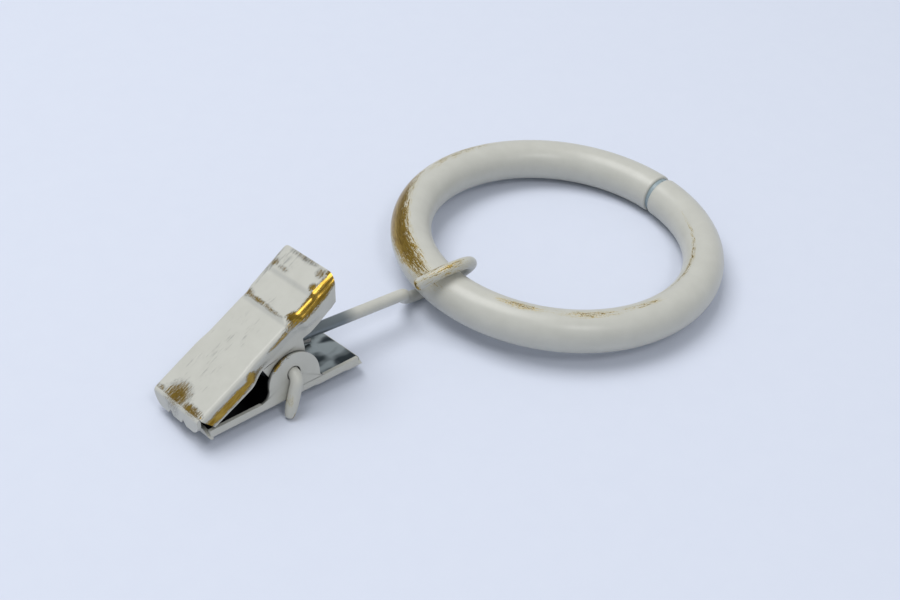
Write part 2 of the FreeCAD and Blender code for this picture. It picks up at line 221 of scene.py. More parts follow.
paint_pale = (0.560, 0.558, 0.508, 1.0)
paint_dull = (0.470, 0.468, 0.420, 1.0)
paint_roughness = (0.26, 0.40)
gilt_bright = (0.420, 0.280, 0.058, 1.0)
gilt_dark = (0.205, 0.115, 0.012, 1.0)
gilt_roughness = 0.20
scuff_grey = (0.085, 0.092, 0.090, 1.0)
thin_olive = (0.440, 0.385, 0.215, 1.0)
braze_blue = (0.260, 0.330, 0.360, 1.0)

# Each noise by its stretch, its scale and its detail.
streak_noise = ((0.6, 9.0, 9.0), 1.0, 5.0)
grain_noise = ((1.0, 1.0, 1.0), 5.5, 6.0)
cloud_noise = ((1.0, 1.0, 1.0), 0.35, 3.0)
hair_noise = ((0.28, 7.0, 7.0), 1.0, 3.0)
patch_noise = ((0.6, 1.0, 1.0), 0.55, 3.0)
streak_depth = 2.0
grain_depth = 1.4
grain_height = 0.08
rub_reach = 2.2
gilt_limits = (0.46, 0.54)
gilt_streaks = (0.36, 0.62)
thin_limits = (0.24, 0.46)
thin_cover = 0.75
hair_gain = 0.06
hair_limits = (0.64, 0.72)
patch_gain = 0.15
patch_limits = (0.60, 0.75)

paint = bpy.data.node_groups.new("Worn cream paint over gilt", "ShaderNodeTree")
for socket_name, direction, socket_type in (
        ("Place", "INPUT", "NodeSocketVector"), ("Rubbed", "INPUT", "NodeSocketFloat"),
        ("Scuffs", "INPUT", "NodeSocketFloat"), ("Thin Paint", "INPUT", "NodeSocketColor"),
        ("Color", "OUTPUT", "NodeSocketColor"), ("Gilt", "OUTPUT", "NodeSocketFloat"),
        ("Roughness", "OUTPUT", "NodeSocketFloat"), ("Height", "OUTPUT", "NodeSocketFloat")):
    paint.interface.new_socket(socket_name, in_out=direction, socket_type=socket_type)
group_in = paint.nodes.new("NodeGroupInput")
group_out = paint.nodes.new("NodeGroupOutput")
place_in = group_in.outputs["Place"]
rubbed_in = group_in.outputs["Rubbed"]
scuffs_in = group_in.outputs["Scuffs"]

# Where it is rubbed the paint gives way, ragged by streaks and grains. Short of that it is thin.
streaks = noise(paint, place_in, *streak_noise)
grains = noise(paint, place_in, *grain_noise)
ragged = combined(paint, "MULTIPLY", combined(paint, "SUBTRACT", streaks, 0.5), streak_depth)
speckled = combined(paint, "MULTIPLY", combined(paint, "SUBTRACT", grains, 0.5), grain_depth)
touched = combined(paint, "MINIMUM", combined(paint, "MULTIPLY", rubbed_in, rub_reach), 1.0)
ragged = combined(paint, "MULTIPLY", combined(paint, "ADD", ragged, speckled), touched)
worn = combined(paint, "ADD", rubbed_in, ragged)
gilt = between(paint, worn, *gilt_limits)
thinned = combined(paint, "MULTIPLY", between(paint, worn, *thin_limits), thin_cover)

# Scuffs are long hairs that come in patches.
hairs = combined(paint, "ADD", noise(paint, place_in, *hair_noise),
                 combined(paint, "MULTIPLY", scuffs_in, hair_gain))
patches = combined(paint, "ADD", noise(paint, place_in, *patch_noise),
                   combined(paint, "MULTIPLY", scuffs_in, patch_gain))
scuffed = combined(paint, "MULTIPLY", between(paint, hairs, *hair_limits),
                   between(paint, patches, *patch_limits))
scuffed = combined(paint, "MULTIPLY", scuffed, combined(paint, "MINIMUM", scuffs_in, 1.0))

painted = mixed(paint, noise(paint, place_in, *cloud_noise), paint_pale, paint_dull)
painted = mixed(paint, scuffed, painted, scuff_grey)
painted = mixed(paint, thinned, painted, group_in.outputs["Thin Paint"])
gilding = mixed(paint, between(paint, streaks, *gilt_streaks), gilt_dark, gilt_bright)
set_inputs(paint, group_out, {
    "Color": mixed(paint, gilt, painted, gilding), "Gilt": gilt,
    "Roughness": mixed_value(paint, gilt, mixed_value(paint, grains, *paint_roughness), gilt_roughness),
    "Height": combined(paint, "SUBTRACT", combined(paint, "MULTIPLY", grains, grain_height), gilt)})


def paint_material(name, thin_paint, relief):
    """Principled paint from the worn paint group, with the paint's edge standing proud by relief.

    Also returns its node tree, its shader and the group's node, so that bare metal can be added.
    """
    material = bpy.data.materials.new(name)
    material.use_nodes = True
    tree = material.node_tree
    shader = tree.nodes["Principled BSDF"]
    group = add_node(tree, "ShaderNodeGroup", {}, node_tree=paint)
    set_inputs(tree, group, {
        "Place": field(tree, "place", "Vector"), "Rubbed": field(tree, "rubbed"),
        "Scuffs": field(tree, "scuffs"), "Thin Paint": thin_paint})
    raised = add_node(tree, "ShaderNodeBump", {
        "Strength": 0.5, "Distance": relief * MM, "Height": group.outputs["Height"]})
    set_inputs(tree, shader, {
        "Base Color": group.outputs["Color"], "Metallic": group.outputs["Gilt"],
        "Roughness": group.outputs["Roughness"], "Normal": raised.outputs["Normal"]})
    return material, tree, shader, group


half_gap = np.arcsin(butt_gap / 2 / ring_radius)
ring_turn = np.linspace(-half_gap, 2 * np.pi - half_gap, 1441)[:, None]
ring_path = ring_radius * (np.cos(ring_turn) * ring_along + np.sin(ring_turn) * ring_across)
gap_length = 2 * half_gap * ring_radius
rod_length = 2 * np.pi * ring_radius - gap_length
rod_place, rod_size = wire_stations(rod_length, ring_rod / 2, butt_round, butt_round, ring_step)
ring_place = np.concatenate([[0.0], gap_length + rod_place])
ring_size = np.concatenate([[0.0], rod_size])

# The rod's end discs give way to the groove's floor, so that the ring closes on itself.
in_gap = ring_size == 0.0
ring_size[in_gap] = ring_rod / 2 - butt_depth
ring_points, ring_straight, ring_faces = swept(ring_path, ring_place, ring_size, ring_axis, ring_columns)

# Worn spots by the turn round the ring from its butt and the turn round the rod from the top, in degrees.
ring_spots = (
    (142.0, 50.0, 34.0, 36.0, 1.15),
    (92.0, 22.0, 26.0, 28.0, 0.42),
    (212.0, 0.0, 14.0, 18.0, 0.44),
    (238.0, 0.0, 16.0, 20.0, 0.44),
    (260.0, -8.0, 14.0, 14.0, 0.40),
    (302.0, -38.0, 40.0, 9.0, 0.50),
    (232.0, -42.0, 40.0, 6.0, 0.46),
)
turn_deg = np.degrees(ring_straight[:, 0] / ring_radius - half_gap)
outward = ring_points @ ring_axis
reach = np.linalg.norm(ring_points - outward[:, None] * ring_axis, axis=1) - ring_radius
rod_deg = np.degrees(np.arctan2(reach, outward))
ring_paint, ring_tree, ring_shader, ring_worn = paint_material("Painted ring", thin_olive, ring_relief)
set_inputs(ring_tree, ring_shader, {"Base Color": mixed(
    ring_tree, field(ring_tree, "bare"), ring_worn.outputs["Color"], braze_blue)})
ring = new_piece("ring_rod", ring_points, ring_faces, ring_paint, place=ring_straight,
                 rubbed=rubbed_by(turn_deg, rod_deg, ring_spots),
                 scuffs=np.full(len(ring_points), ring_scuffs),
                 bare=np.repeat(in_gap.astype(float), ring_columns))
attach(ring, "ring")
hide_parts("ring")


# Eye link
# One length of wire, bent to a hook round the pivot pin, a straight shank and a leaning eye that
# hangs on the ring. It was painted with the rest; near the clip the paint is gone and the bare steel
# is darkened by painted shade from the clip's handle, and the paint is thin at the cut end.

wire = 1.75
pin_eye_clearance = 0.1
pin_eye_end = np.radians(-8.0)
eye_clearance = 0.45
eye_lean = np.radians(36.0)
eye_end = np.radians(150.0)
eye_rise = 0.5
eye_side_offset = 2.0
neck_bend = 1.8
link_side_shift = 0.7
clip_tail_rise = 0.3
clip_length = 25.25
link_cut_round = 0.18
link_step = 0.25
wire_columns = 32
wire_relief = 0.015
link_scuffs = 0.5
# Near the clip the wire is dark bluish bare steel. It is darkened further as painted shade where the clip's
# handle shades it.
shaded_bare_end = 26.0
shaded_bare_fade = 9.0
shaded_bare_steel = (0.085, 0.120, 0.150, 1.0)
steel_metal = 0.6
shaded_bare_ragged = 0.5
shaded_bare_limits = (0.35, 0.75)
shaded_bare_cover = 0.8

pin_middle = np.array(joint["clip_swing"]["pos_m"]) / MM
clip_across = np.array(joint["clip_swing"]["axis"])
clip_roll = np.arcsin(-clip_across[2])
clip_pitch = np.arcsin(clip_tail_rise / clip_length)
clip_along = np.array([np.cos(clip_pitch), np.sin(clip_pitch) * np.sin(clip_roll),
                       np.sin(clip_pitch) * np.cos(clip_roll)])
clip_up = np.cross(clip_along, clip_across)
clip_axes = np.stack([clip_along, clip_across, clip_up])


def on_clip(points):
    """Points along, across and above the pivot pin, put where the clip lies."""
    return pin_middle + points @ clip_axes


def bent(middle_along, middle_up, radius, start, end):
    """Arc in the clip's mid plane: middle + radius * (cos a, sin a) for a from start to end."""
    angle = np.linspace(start, end, max(int(abs(end - start) * 30), 12))
    return np.stack([middle_along + radius * np.cos(angle), np.zeros_like(angle),
                     middle_up + radius * np.sin(angle)], axis=1)


def straight_run(start, end, count):
    """Points shared out evenly between two ends, both left out."""
    share = np.linspace(0.0, 1.0, count + 2)[1:-1, None]
    return start + (end - start) * share


def path_length(path):
    """Length of the line through a row of points."""
    return np.linalg.norm(np.diff(path, axis=0), axis=1).sum()


hook_radius = wire + pin_eye_clearance
eye_turn = np.arcsin(eye_side_offset / ring_radius)
eye_loop = (ring_rod / 2 + eye_clearance + wire / 2) / (np.cos(eye_lean) * np.cos(eye_turn))
link_lean = eye_lean + clip_roll
aim = (eye_middle - pin_middle) @ clip_axes.T
aim += np.array([0.0, link_side_shift + eye_rise * np.sin(link_lean), -eye_rise * np.cos(link_lean)])
slope = np.arctan2(aim[2], aim[0]) - np.arcsin(hook_radius / np.hypot(aim[0], aim[2]))
shank_way = np.array([np.cos(slope), 0.0, np.sin(slope)])
shank_square = np.array([-np.sin(slope), 0.0, np.cos(slope)])
eye_drawn = aim + shank_square * eye_rise
neck_back = np.sqrt((eye_loop + neck_bend) ** 2 - (neck_bend + eye_rise) ** 2)
shank_end = aim - shank_way * neck_back
neck = shank_end - shank_square * neck_bend
meet = np.arctan2(eye_drawn[2] - neck[2], eye_drawn[0] - neck[0])
hook = bent(0.0, 0.0, hook_radius, pin_eye_end + 2 * np.pi, np.pi / 2 + slope)
eye_wire = np.concatenate([
    bent(neck[0], neck[2], neck_bend, np.pi / 2 + slope, meet),
    bent(eye_drawn[0], eye_drawn[2], eye_loop, meet - np.pi, eye_end)[1:],
])
leaned = np.array(Matrix.Rotation(link_lean, 3, shank_way.tolist()))
eye_wire = aim + (eye_wire - aim) @ leaned.T
link_path = np.concatenate([hook, straight_run(hook[-1], eye_wire[0], 60), eye_wire])
link_path[:, 1] -= link_side_shift
link_path = on_clip(link_path)
link_length = path_length(link_path)
link_place, link_size = wire_stations(link_length, wire / 2, link_cut_round, link_cut_round, link_step)
link_points, link_straight, link_faces = swept(
    link_path, link_place, link_size, clip_across, wire_columns)

# Worn spots by the place along the wire from the hook's end and the offset in its section.
link_spots = (
    (link_length, 0.0, 0.5, 3.0, 0.85),
    (link_length - 3.5, 0.6, 2.4, 0.7, 0.56),
    (link_length - 9.0, 0.7, 3.0, 0.6, 0.50),
    (link_length - 4.5, -0.4, 5.0, 0.9, 0.45),
)
wire_paint, wire_tree, wire_shader, wire_worn = paint_material("Painted wire", thin_olive, wire_relief)
# Bare steel near the clip, its dark colour partly painted shade from the clip's handle.
shaded_bare_wire = combined(wire_tree, "ADD", field(wire_tree, "bare"),
                     combined(wire_tree, "MULTIPLY", wire_worn.outputs["Height"], shaded_bare_ragged))
shaded_bare_wire = combined(wire_tree, "MULTIPLY", between(wire_tree, shaded_bare_wire, *shaded_bare_limits), shaded_bare_cover)
set_inputs(wire_tree, wire_shader, {
    "Base Color": mixed(wire_tree, shaded_bare_wire, wire_worn.outputs["Color"], shaded_bare_steel),
    "Metallic": combined(wire_tree, "MAXIMUM", combined(wire_tree, "MULTIPLY", shaded_bare_wire, steel_metal),
                         wire_worn.outputs["Gilt"])})
link = new_piece("eye_link_wire", link_points, link_faces, wire_paint, place=link_straight,
                 rubbed=rubbed_by(link_straight[:, 0], link_straight[:, 1], link_spots),
                 scuffs=np.full(len(link_points), link_scuffs),
                 bare=np.clip((shaded_bare_end - link_straight[:, 0]) / shaded_bare_fade, 0.0, 1.0))
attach(link, "link")
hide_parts("eye_link")


# Pivot pin
# A headed wire pushed through the ears of both jaws. Its near end is bent down outside the ear as a
# stop, and props the clip up when it lies on a table. It was painted after it was bent.

lower_half_width = 5.5
pin_side_play = 0.15
pin_head_radius = 1.5
pin_head_thickness = 0.6
leg_bend = 1.35
leg_lean = np.radians(22.0)
pin_head_rim = 0.1
pin_crown_share = 0.8
pin_tip_round = 0.3
pin_tip_taper = 0.35
pin_tip_length = 2.0
pin_step = 0.2
pin_scuffs = 0.3

table_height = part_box("ring")[0][2] / MM
ear_face = lower_half_width + pin_side_play
leg_side = -(ear_face + wire / 2)
leg_down = np.array([-np.sin(leg_lean), 0.0, -np.cos(leg_lean)])
leg_root = np.array([0.0, leg_side, 0.0])
leg_way = leg_down @ clip_axes
leg_half_height = wire / 2 * np.sqrt(1 - leg_way[2] ** 2)
leg_reach = (on_clip(leg_root)[2] - table_height - leg_half_height) / -leg_way[2]
pin_top = np.array([0.0, ear_face + pin_head_thickness, 0.0])
bend_middle = np.array([0.0, leg_side + leg_bend, 0.0]) + leg_down * leg_bend
bend_angle = np.linspace(0.0, np.pi / 2, 24)[:, None]
leg_curve = bend_middle - leg_down * leg_bend * np.cos(bend_angle) \
    - np.array([0.0, leg_bend, 0.0]) * np.sin(bend_angle)
leg_end = leg_root + leg_down * leg_reach
pin_path = np.concatenate([pin_top[None], straight_run(pin_top, leg_curve[0], 80), leg_curve,
                           straight_run(leg_curve[-1], leg_end, 40), leg_end[None]])
pin_path = on_clip(pin_path)
pin_length = path_length(pin_path)
shaft_place, shaft_size = wire_stations(pin_length, wire / 2, pin_head_rim, pin_tip_round, pin_step)
crown = np.linspace(0.0, np.pi / 2, 10)
behind_head = shaft_place > pin_head_thickness
pin_place = np.concatenate([pin_head_thickness * pin_crown_share * (1 - np.cos(crown)),
                            [pin_head_thickness, pin_head_thickness], shaft_place[behind_head]])
pin_size = np.concatenate([pin_head_radius * np.sin(crown), [pin_head_radius, wire / 2],
                           shaft_size[behind_head]])
tip_share = np.clip((pin_place - pin_length + pin_tip_length) / pin_tip_length, 0.0, 1.0)
pin_size *= 1 - pin_tip_taper * tip_share ** 2
pin_points, pin_straight, pin_faces = swept(pin_path, pin_place, pin_size, clip_along, wire_columns)

# Worn spots by the place along the wire from the head and the offset in its section.
pin_spots = (
    (pin_length - 0.3, 0.5, 0.9, 0.5, 0.75),
    (pin_length - 2.6, -0.7, 1.2, 0.3, 0.42),
)
pin = new_piece("pivot_pin_wire", pin_points, pin_faces, wire_paint, place=pin_straight,
                rubbed=rubbed_by(pin_straight[:, 0], pin_straight[:, 1], pin_spots),
                scuffs=np.full(len(pin_points), pin_scuffs))
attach(pin, "clip")
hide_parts("pivot_pin")


# Lower jaw
# Pressed sheet steel: a shallow channel that opens upwards, two round ears for the pin, and a nose
# lip parted into blunt teeth. Painted outside; inside it is bare steel with dark patches of painted
# reflection and shade under the thumb plate, and near-black painted shade towards the nose.

sheet = 0.55
step_run = 0.9
first_step = 3.9
second_step = 8.9
pin_height = 3.9
lower_nose = 13.85
lower_tail = 11.4
lower_bend = 0.7
lower_step_rise = 0.15
lower_nose_flange = 1.45
lower_tail_flange = 1.6
lower_ear_radius = 4.05
lower_ear_drop = 1.1
lower_ear_front_round = 1.4
lower_ear_back_round = 0.7
lower_hole_clearance = 0.2
lower_tail_round = 1.0
lower_lip = 1.25
lip_bend = 0.65
lower_lip_inset = 0.05
lower_lip_corner = (1.9, 1.3)
notch_width = 1.2
notch_depth = 0.8
notch_spacing = 3.1
edge_round = 0.08
lower_lip_rub = 0.1
ear_rim_start = 1.3
ear_rim_width = 0.35
trim_scuffs = 0.12
sheet_relief = 0.02
inner_steel = (0.400, 0.450, 0.460, 1.0)
# Dark patches over the bare steel inside are painted reflections and shade.
painted_reflection_dark = (0.035, 0.048, 0.055, 1.0)
# Near-black painted shade on the inside towards the nose, where it lies deep in shade.
inner_painted_shade = (0.006, 0.006, 0.008, 1.0)
painted_shade_limits = (0.5, 4.5)
painted_reflection_noise = ((0.6, 1.0, 1.0), 0.26, 2.0)
painted_reflection_limits = (0.43, 0.60)
inner_metal = 0.95
inner_roughness = 0.30


def eased(x, stations, values):
    """Values at stations joined by smooth steps 3 t t - 2 t t t, so that each fold is rounded."""
    index = np.clip(np.searchsorted(stations, x, side="right") - 1, 0, len(stations) - 2)
    stations = np.asarray(stations)
    values = np.asarray(values, dtype=float)
    share = np.clip((x - stations[index]) / (stations[index + 1] - stations[index]), 0.0, 1.0)
    share = share * share * (3 - 2 * share)
    return values[index] + (values[index + 1] - values[index]) * share


def channel_side(x, top, half_width, bend, knee, half_knee, foot, rake, inset):
    """Half of each section of a channel, from its middle line to the flange's foot.

    A level top, a quarter bend of the given radius, a straight web to the knee and a straight
    flange down to the foot. inset moves the line into the sheet, towards the inside.
    """
    top, half_width, bend, knee, half_knee, foot = (
        value[:, None] for value in (top, half_width, bend, knee, half_knee, foot))
    centre = half_width - bend
    reach = np.hypot(half_knee - centre, knee - top + bend)
    turn = np.arctan2(knee - top + bend, half_knee - centre) + np.arccos(bend / reach)
    radius = bend - inset
    angle = np.pi / 2 + (turn - np.pi / 2) * np.linspace(0.0, 1.0, 13)
    web = np.linspace(0.0, 1.0, 5)[1:]
    fall = np.linspace(0.0, 1.0, 7)[1:]
    bend_y = centre + radius * np.cos(angle)
    bend_z = top - bend + radius * np.sin(angle)
    level = np.linspace(0.0, 1.0, 22)[:-1]
    y = np.concatenate([
        centre * level, bend_y, bend_y[:, -1:] + (half_knee - inset - bend_y[:, -1:]) * web,
        np.repeat(half_knee - inset, len(fall), axis=1)], axis=1)
    z = np.concatenate([
        np.repeat(top - inset, len(level), axis=1), bend_z,
        bend_z[:, -1:] + (knee - bend_z[:, -1:]) * web, knee + (foot - knee) * fall], axis=1)
    return np.stack([x[:, None] + rake[:, None] * (top - z), y, z], axis=-1)


def channel_surface(inset, stations, end_round, corner_width, end_slope, crest, crest_half):
    """Both halves of a channel side by side, its thumb end rounded off in plan and its flanges sloped.

    Each row's far stretch is drawn in so that it ends on the corner's ellipse, or on the flange's
    slope. The middle of the plate, within crest_half, is pressed to the heights of the crest.
    """
    x_list, top, half_width, bend, knee, half_knee, foot, rake = np.array(stations).T
    x = np.linspace(x_list[0], x_list[-1], 170)
    sections = [eased(x, x_list, values) for values in (top, half_width, bend, knee, half_knee, foot)]
    half = channel_side(x, *sections, eased(x, x_list, rake), inset)
    pressed = np.clip((half_width[-1] - half[..., 1]) / (half_width[-1] - crest_half), 0.0, 1.0)
    lift = eased(x, *np.array(crest).T) - sections[0]
    half[..., 2] += lift[:, None] * pressed ** 2 * (3 - 2 * pressed)
    end = x_list[-1]
    overhang = np.clip(1 - (half_width[-1] - inset - half[-1, :, 1]) / corner_width, 0.0, 1.0)
    drop = np.clip(top[-1] - bend[-1] - half[-1, :, 2], 0.0, None)
    row_end = end - end_round * (1 - np.sqrt(1 - overhang ** 2)) - end_slope * drop
    drawn_in = 2.5 * end_round
    share = np.clip((half[..., 0] - end + drawn_in) / drawn_in, 0.0, 1.0)
    half[..., 0] += share * (row_end - end)
    other = half[:, :0:-1] * np.array([1.0, -1.0, 1.0])
    return np.concatenate([other, half], axis=1)


def closed_sheet(outer, inner):
    """Closed shell of a sheet: its outer and inner grids and the strips that join their rims."""
    rows, columns = outer.shape[:2]
    points = np.concatenate([outer.reshape(-1, 3), inner.reshape(-1, 3)])
    number = np.arange(rows * columns).reshape(rows, columns)
    rim = np.concatenate([number[0, :-1], number[:-1, -1], number[-1, :0:-1], number[:0:-1, 0]])
    after = np.roll(rim, -1)
    strip = np.stack([rim, after, after + rows * columns, rim + rows * columns], axis=1)
    cells = grid_faces(rows, columns, False)
    return points, np.concatenate([cells, cells[:, ::-1] + rows * columns, strip])


def developed(outer):
    """Place of each point on the flat blank: along the jaw, and out from its middle line."""
    steps = np.linalg.norm(np.diff(outer, axis=1), axis=2)
    out = np.concatenate([np.zeros((len(outer), 1)), np.cumsum(steps, axis=1)], axis=1)
    out -= out[:, outer.shape[1] // 2][:, None]
    return np.stack([outer[..., 0], out, np.zeros_like(out)], axis=-1)


def lip_surface(plate_end, top, turn, length, half_width, corner_width, corner_depth, inset):
    """Strip of the plate's end turned down: an arc of the bend and then a straight wall.

    Each line across the strip ends at its own length: teeth with two notches between, and corners
    rounded off by depth * (1 - sqrt(1 - t * t)).
    """
    notch = notch_width / 2
    corners = np.array([0.0, notch_spacing / 2 - notch, notch_spacing / 2, notch_spacing / 2 + notch])
    depths = np.array([0.0, 0.0, notch_depth, 0.0])
    across = np.unique(np.concatenate([np.linspace(-half_width, half_width, 141), corners, -corners]))
    beyond = np.clip(1 + (np.abs(across) - half_width) / corner_width, 0.0, 1.0)
    cut = np.interp(np.abs(across), corners, depths) + corner_depth * (1 - np.sqrt(1 - beyond ** 2))
    set_back = lip_bend * np.tan(turn / 2)
    bend_length = lip_bend * turn
    travelled = (bend_length + length - set_back - cut)[:, None] * np.linspace(0.0, 1.0, 19)
    angle = np.minimum(travelled / lip_bend, turn)
    wall = np.maximum(travelled - bend_length, 0.0)
    radius = lip_bend - inset
    x = plate_end + set_back - radius * np.sin(angle) - np.cos(turn) * wall
    z = top - lip_bend + radius * np.cos(angle) - np.sin(turn) * wall
    return np.stack([x, np.broadcast_to(across[:, None], x.shape), z], axis=-1)


def inside(rows, columns):
    """1 on the inner grid of a sheet and 0 on its outer grid and along the rims, which are painted."""
    inner = np.zeros((rows, columns))
    inner[1:-1, 1:-1] = 1.0
    return np.concatenate([np.zeros(rows * columns), inner.ravel()])


def lip_shell(form):
    """Closed shell of a nose lip, and its bare inside."""
    outer = lip_surface(*form, 0.0)
    points, faces = closed_sheet(outer, lip_surface(*form, sheet))
    return points, faces, inside(*outer.shape[:2])


def ear_shell(outline, hole_radius, outside, side):
    """Closed shell of a flat ear with a round hole at the pin, and its bare inside.

    Rings are blended from the hole's circle to the outline on the outside, at that distance from
    the middle line, and back again one sheet further in.
    """
    angle = np.arctan2(outline[:, 1], outline[:, 0])
    hole = hole_radius * np.stack([np.cos(angle), np.sin(angle)], axis=1)
    share = np.linspace(0.0, 1.0, 9)[:, None, None]
    rings = hole + (outline - hole) * share
    front, back = (
        np.stack([rings[..., 0], np.full(rings.shape[:2], side * distance), rings[..., 1]], axis=-1)
        for distance in (outside, outside - sheet))
    grid = np.concatenate([front, back[::-1], front[:1]])
    points = grid.reshape(-1, 3)
    bare = (np.abs(points[:, 1]) < outside - sheet / 2).astype(float)
    return points, grid_faces(len(grid), grid.shape[1], True), bare


def outline_arc(x, z, radius, start, end, count=24):
    """Arc of an ear's outline: middle + radius * (cos a, sin a) for a from start to end in degrees."""
    angle = np.radians(np.linspace(start, end, count))
    return np.stack([x + radius * np.cos(angle), z + radius * np.sin(angle)], axis=1)


def assembled(parts):
    """Several shells put together as one mesh: its points, its faces and its fields."""
    offset = np.cumsum([0] + [len(part_points) for part_points, _, _ in parts])
    points = np.concatenate([part_points for part_points, _, _ in parts])
    faces = np.concatenate([part_faces + start for (_, part_faces, _), start in zip(parts, offset)])
    fields = {key: np.concatenate([part[2][key] for part in parts]) for key in parts[0][2]}
    return points, faces, fields


def channel_fields(outer, spots, scuff_spots):
    """Fields over a channel's outer and inner grids: the inside is bare and its paint unworn."""
    flat = developed(outer).reshape(-1, 3)
    none = np.zeros(len(flat))
    return {"place": np.concatenate([flat, flat]),
            "rubbed": np.concatenate([rubbed_by(flat[:, 0], flat[:, 1], spots), none]),
            "scuffs": np.concatenate([rubbed_by(flat[:, 0], flat[:, 1], scuff_spots), none]),
            "bare": inside(*outer.shape[:2])}


def shell_fields(place, rubbed, bare):
    """Fields over a lip or an ear, which is scuffed evenly."""
    return {"place": place, "rubbed": rubbed, "scuffs": np.full(len(place), trim_scuffs), "bare": bare}


def ease_edges(piece):
    """Rounds the sheet's cut edges."""
    edges = piece.modifiers.new("eased edges", "BEVEL")
    edges.width = edge_round * MM
    edges.segments = 2
    edges.limit_method = "ANGLE"
    edges.angle_limit = np.radians(50.0)
    edges.harden_normals = True


lower_land = pin_height + lower_step_rise
lower_thumb = lower_land + lower_step_rise
nose_foot = pin_height - lower_nose_flange
tail_foot = lower_thumb - lower_tail_flange
lower_knee = (tail_foot + pin_height - lower_bend) / 2
lower_shape = (lower_half_width, lower_bend, lower_knee, lower_half_width)

# Each section: its place along the jaw, its top, half width, bend, knee, half width at the knee,
# and the foot and rake of its flange.
lower_stations = (
    (lip_bend / 2 - lower_nose, pin_height, *lower_shape, nose_foot, 0.0),
    (first_step - step_run, pin_height, *lower_shape, nose_foot, 0.0),
    (first_step, lower_land, *lower_shape, nose_foot, 0.0),
    (lower_ear_radius + lower_ear_back_round, lower_land, *lower_shape, tail_foot, 0.0),
    (second_step - step_run, lower_land, *lower_shape, tail_foot, 0.0),
    (second_step, lower_thumb, *lower_shape, tail_foot, 0.0),
    (lower_tail, lower_thumb, *lower_shape, tail_foot, 0.0),
)
lower_crest = [(station[0], station[1]) for station in lower_stations]
lower_end = (lower_tail_round, lower_tail_round, 0.0, lower_crest, 0.0)
lower_outer = channel_surface(0.0, lower_stations, *lower_end)
lower_inner = channel_surface(sheet, lower_stations, *lower_end)
lower_body, lower_body_faces = closed_sheet(lower_outer, lower_inner)

# Worn spots on the blank, by the distance along from the pin and out from the middle line.
lower_spots = (
    (-13.6, 0.0, 0.5, 5.0, 0.46),
    (-9.0, 7.6, 4.0, 0.25, 0.40),
    (11.2, 0.0, 0.5, 5.5, 0.42),
)
lower_scuffs = ((0.0, 0.0, 20.0, 6.0, 0.4),)
lower_parts = [(lower_body, lower_body_faces, channel_fields(lower_outer, lower_spots, lower_scuffs))]

lip_form = (-lower_nose, pin_height, np.pi / 2, lower_lip, lower_half_width - lower_lip_inset,
            *lower_lip_corner)
lip_points, lip_faces, lip_bare = lip_shell(lip_form)
lip_rub = lower_lip_rub * (1 - lip_bare)
lower_parts.append((lip_points, lip_faces, shell_fields(lip_points, lip_rub, lip_bare)))

lower_ear = np.concatenate([
    outline_arc(-lower_ear_radius - lower_ear_front_round, nose_foot - lower_ear_front_round,
                lower_ear_front_round, 90.0, 0.0),
    outline_arc(0.0, lower_ear_drop, lower_ear_radius, 180.0, 360.0, 72),
    outline_arc(lower_ear_radius + lower_ear_back_round, tail_foot - lower_ear_back_round,
                lower_ear_back_round, 180.0, 90.0),
    np.stack([np.linspace(lower_ear_radius, -lower_ear_radius, 40),
              np.linspace(tail_foot, nose_foot, 40)], axis=1),
])

# An ear is worn only near its round rim: by spots along from the pin and up, times a fade inwards.
ear_spots = ((-2.3, -2.2, 1.3, 1.0, 0.80), (-0.9, -2.8, 1.2, 0.6, 0.50))
for side in (-1, 1):
    ear_points, ear_faces, ear_bare = ear_shell(
        lower_ear, wire / 2 + lower_hole_clearance, lower_half_width, side)
    from_rim = np.hypot(ear_points[:, 0], ear_points[:, 2] - lower_ear_drop) - lower_ear_radius
    near_rim = np.clip(ear_rim_start + from_rim / ear_rim_width, 0.0, 1.0)
    ear_rub = near_rim * rubbed_by(ear_points[:, 0], ear_points[:, 2], ear_spots)
    lower_parts.append((ear_points, ear_faces, shell_fields(ear_points[:, [0, 2, 1]], ear_rub, ear_bare)))

sheet_paint, sheet_tree, sheet_shader, sheet_worn = paint_material("Painted sheet", scuff_grey, sheet_relief)
sheet_place = field(sheet_tree, "place", "Vector")
sheet_along = add_node(sheet_tree, "ShaderNodeSeparateXYZ", {0: sheet_place}).outputs["X"]
bare_sheet = field(sheet_tree, "bare")
bare_metal = combined(sheet_tree, "MULTIPLY", bare_sheet, inner_metal)
# Over the bare steel inside lie dark patches of painted reflection and shade.
painted_reflection_patches = between(sheet_tree, noise(sheet_tree, sheet_place, *painted_reflection_noise), *painted_reflection_limits)
# Towards the nose the inside turns to near-black painted shade.
inner_color = mixed(sheet_tree, between(sheet_tree, sheet_along, *painted_shade_limits), inner_painted_shade,
                    mixed(sheet_tree, painted_reflection_patches, painted_reflection_dark, inner_steel))
set_inputs(sheet_tree, sheet_shader, {
    "Base Color": mixed(sheet_tree, bare_sheet, sheet_worn.outputs["Color"], inner_color),
    "Metallic": combined(sheet_tree, "MAXIMUM", bare_metal, sheet_worn.outputs["Gilt"]),
    "Roughness": mixed_value(sheet_tree, bare_metal, sheet_worn.outputs["Roughness"], inner_roughness)})

lower_points, lower_faces, lower_fields = assembled(lower_parts)
turned_over = lower_points * np.array([1.0, -1.0, -1.0])
lower_jaw = new_piece("lower_jaw_sheet", on_clip(turned_over), lower_faces, sheet_paint, **lower_fields)
ease_edges(lower_jaw)
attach(lower_jaw, "clip")
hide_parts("lower_jaw")


# Upper jaw
# Pressed like the lower one, with ears inside its ears and two steps up to a thumb plate that stands
# out further on the near side. Its paint is rubbed through to the gilt along the thumb's near edge,
# the flange and the nose.

